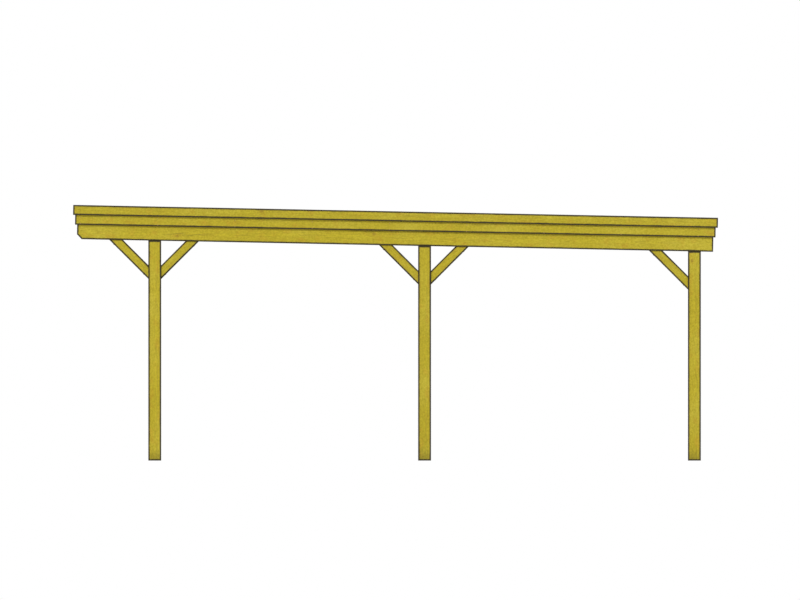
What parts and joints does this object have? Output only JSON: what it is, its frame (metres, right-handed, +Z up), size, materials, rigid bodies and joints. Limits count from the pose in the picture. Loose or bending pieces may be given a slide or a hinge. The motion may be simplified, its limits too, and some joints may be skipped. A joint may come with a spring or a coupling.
{
  "type": "flat-roof timber carport",
  "caption": "Free-standing timber carport: posts with diagonal braces, purlins and rafters under a flat ribbed roof with a stepped fascia and a gentle fall to the rear.",
  "frame": {"origin": "on the ground, under the middle of the roof", "axes": "+X along the drive-in direction and down the roof's fall, from the high front to the low rear; +Y across to the left side; +Z up"},
  "size_m": [6.0006, 3, 2.3789],
  "materials": {
    "post_timber": "planed, pressure-treated",
    "beam_timber": "planed, pressure-treated",
    "brace_timber": "planed, pressure-treated",
    "rafter_timber": "planed, pressure-treated",
    "fascia_board": "planed, pressure-treated",
    "roof_sheet": "translucent, lightly smoked",
    "gutter": "satin grey"
  },
  "bodies": {
    "root": {"post_right_front": "post_timber", "post_right_middle": "post_timber", "post_right_rear": "post_timber", "post_left_front": "post_timber", "post_left_middle": "post_timber", "post_left_rear": "post_timber", "purlin_right": "beam_timber", "purlin_left": "beam_timber", "brace_right_front_ahead": "brace_timber", "brace_right_front_behind": "brace_timber", "brace_right_middle_ahead": "brace_timber", "brace_right_middle_behind": "brace_timber", "brace_right_rear_ahead": "brace_timber", "brace_left_front_ahead": "brace_timber", "brace_left_front_behind": "brace_timber", "brace_left_middle_ahead": "brace_timber", "brace_left_middle_behind": "brace_timber", "brace_left_rear_ahead": "brace_timber", "rafter_1": "rafter_timber", "rafter_2": "rafter_timber", "rafter_3": "rafter_timber", "rafter_4": "rafter_timber", "rafter_5": "rafter_timber", "rafter_6": "rafter_timber", "rafter_7": "rafter_timber", "rafter_8": "rafter_timber", "rafter_9": "rafter_timber", "fascia_lower_right": "fascia_board", "fascia_lower_rear": "fascia_board", "fascia_lower_left": "fascia_board", "fascia_lower_front": "fascia_board", "fascia_upper_right": "fascia_board", "fascia_upper_rear": "fascia_board", "fascia_upper_left": "fascia_board", "fascia_upper_front": "fascia_board", "roof_sheet_1": "roof_sheet", "roof_sheet_2": "roof_sheet", "roof_sheet_3": "roof_sheet", "rain_gutter": "gutter"}
  },
  "joints": []
}
